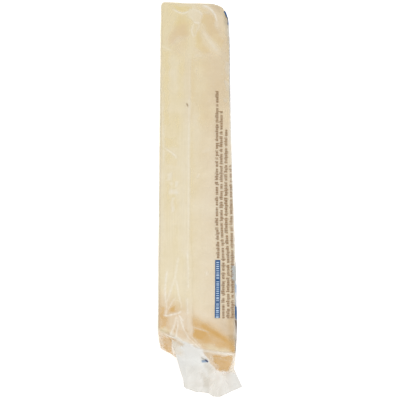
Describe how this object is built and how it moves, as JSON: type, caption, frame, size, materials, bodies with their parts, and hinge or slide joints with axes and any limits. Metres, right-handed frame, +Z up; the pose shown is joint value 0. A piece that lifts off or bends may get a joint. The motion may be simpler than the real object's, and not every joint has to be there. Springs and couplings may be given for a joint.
{
  "type": "vacuum-packed parmesan wedge",
  "caption": "Long narrow wedge of hard grating cheese, vacuum-sealed in clear shrink film with a long lap seam and a crumpled end flap, lying on a cut face.",
  "frame": {"origin": "under the middle of the pack's box, on the surface that the lower cut face lies on", "axes": "+Z up, out of the shown cut face's side; +Y along the wedge, from the rind and the end flap to the point; +X to the right in the picture, across the thickness of the slice"},
  "size_m": [0.045, 0.2124, 0.0824],
  "materials": {
    "film_over_cheese": "gloss",
    "cheese": "satin",
    "clear_film": "gloss",
    "brown_print": "satin",
    "blue_print": "satin",
    "pale_print": "satin"
  },
  "bodies": {
    "root": {"sealed_pack": "film_over_cheese"}
  },
  "joints": []
}
